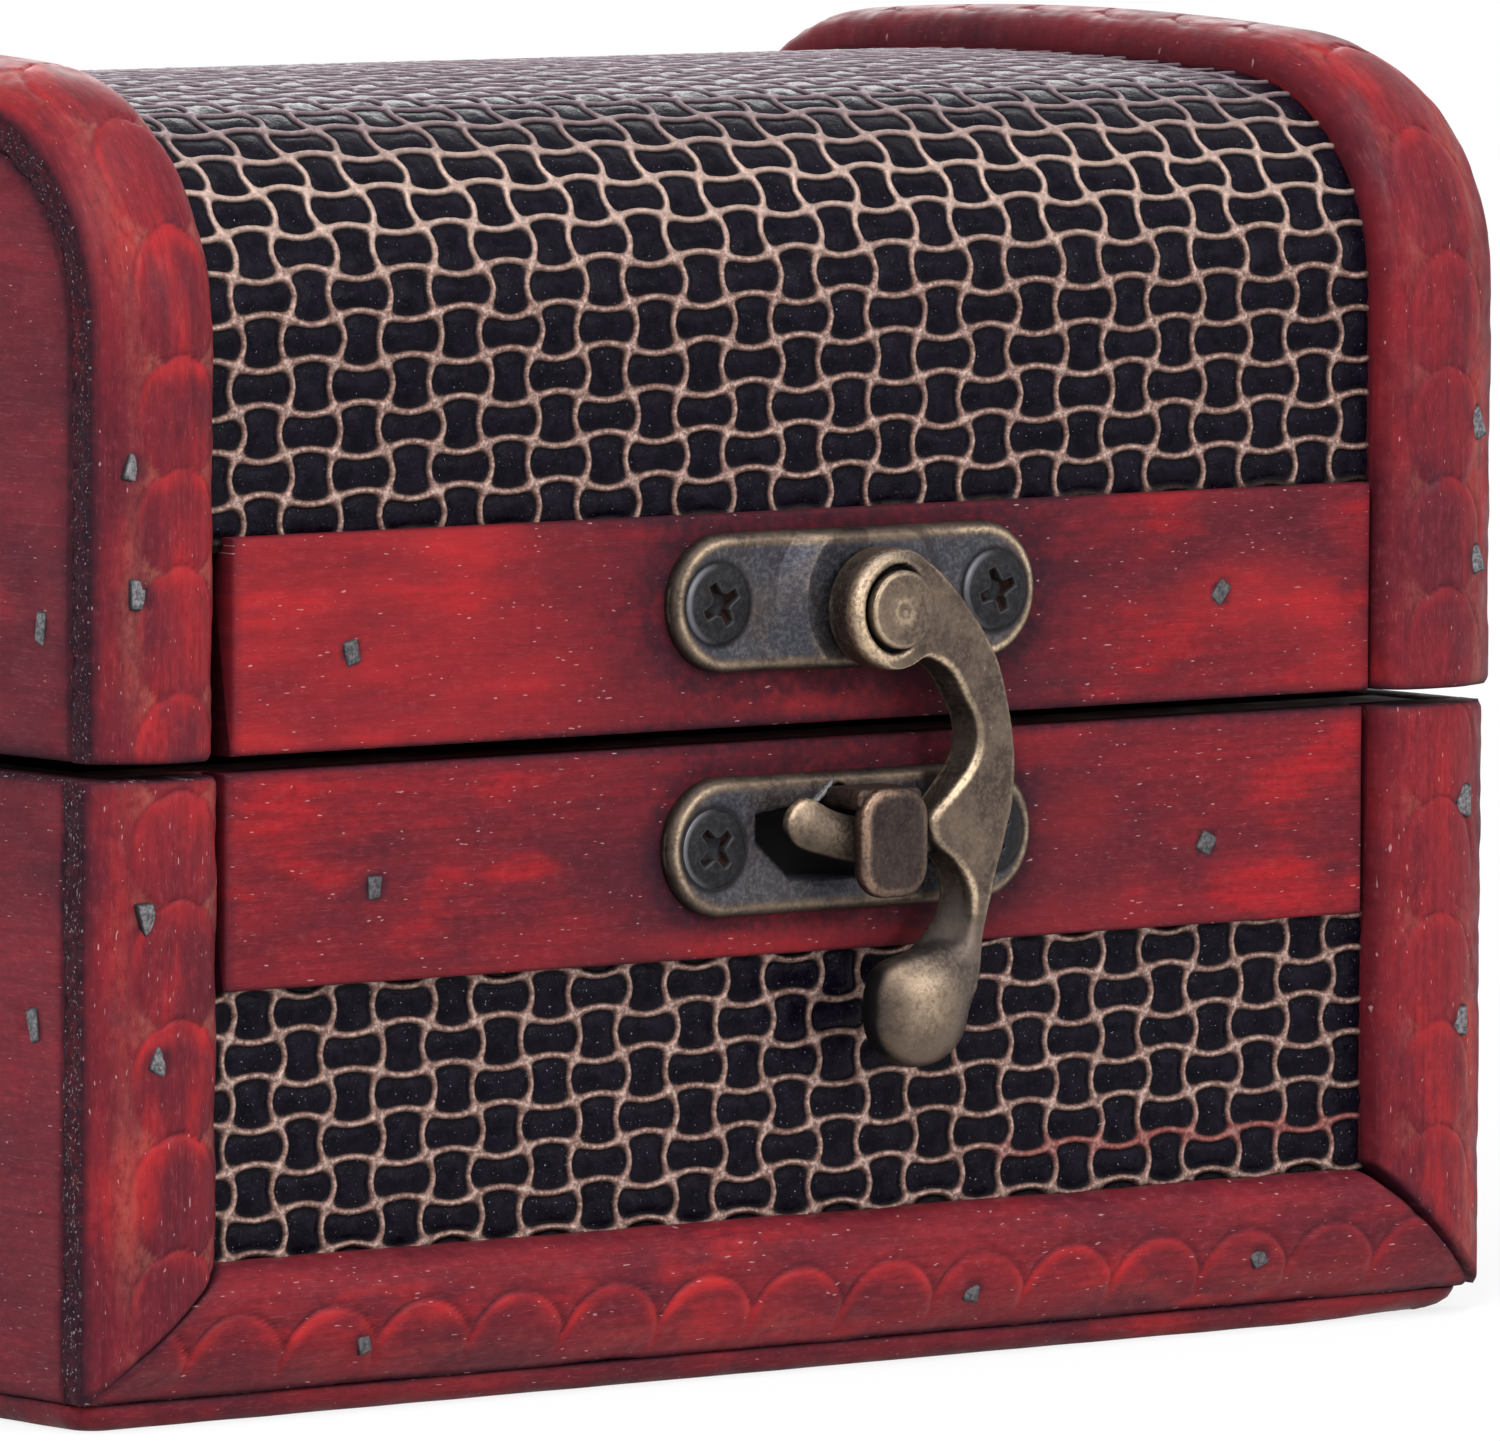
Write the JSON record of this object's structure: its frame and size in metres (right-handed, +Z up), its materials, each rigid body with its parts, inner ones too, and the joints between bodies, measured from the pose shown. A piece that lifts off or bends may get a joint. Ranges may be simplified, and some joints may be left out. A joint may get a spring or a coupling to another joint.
{
  "type": "wooden storage box",
  "caption": "Small wooden keepsake box with a hinged domed lid, half-round mouldings, lattice covering and a brass swing-hook latch.",
  "frame": {"origin": "middle of the underside of the bottom board", "axes": "+X to the box's right as seen from the front, +Y to the back, +Z up; the latch is on the -Y face"},
  "size_m": [0.1107, 0.0743, 0.0813],
  "materials": {
    "red_wood": "red stain under satin lacquer, worn dark along the edges",
    "dark_wood": "dark maroon stain under satin lacquer",
    "covering": "near-black embossed leatherette with a raised bronze lattice",
    "brass": "antique brass, dark in the hollows and bright on the rims",
    "black_screw": "blackened steel",
    "steel": "dull grey brad heads"
  },
  "bodies": {
    "base": {"base_bottom_board": "dark_wood", "base_left_end": "dark_wood", "base_right_end": "dark_wood", "base_front_board": "dark_wood", "base_back_board": "dark_wood", "base_front_covering": "covering", "base_back_covering": "covering", "base_front_rail": "red_wood", "base_back_rail": "red_wood", "base_front_left_moulding": "red_wood", "base_front_right_moulding": "red_wood", "base_front_bottom_moulding": "red_wood", "base_back_left_moulding": "red_wood", "base_back_right_moulding": "red_wood", "base_back_bottom_moulding": "red_wood", "base_brads": "steel", "catch_plate": "brass", "catch_plate_screws": "black_screw", "left_hinge_base_leaf": "brass", "right_hinge_base_leaf": "brass", "left_hinge_pin": "brass", "right_hinge_pin": "brass", "hinge_base_screws": "black_screw"},
    "lid": {"lid_left_end": "dark_wood", "lid_right_end": "dark_wood", "lid_front_board": "dark_wood", "lid_back_board": "dark_wood", "lid_top_sheet": "dark_wood", "lid_covering": "covering", "lid_front_rail": "red_wood", "lid_back_rail": "red_wood", "lid_left_moulding": "red_wood", "lid_right_moulding": "red_wood", "lid_brads": "steel", "hook_plate": "brass", "hook_plate_screws": "black_screw", "hook_rivet": "brass", "left_hinge_lid_leaf": "brass", "right_hinge_lid_leaf": "brass", "hinge_lid_screws": "black_screw"},
    "hook": {"swing_hook": "brass"}
  },
  "joints": [
    {"name": "lid_hinge", "type": "hinge", "parent": "base", "child": "lid", "pos_m": [0, 0.0345, 0.0392], "axis": [-1, 0, 0], "range_deg": [0, 95]},
    {"name": "latch_swing", "type": "hinge", "parent": "lid", "child": "hook", "pos_m": [0.0031, -0.0364, 0.0468], "axis": [0, -1, 0], "range_deg": [0, 180]}
  ]
}
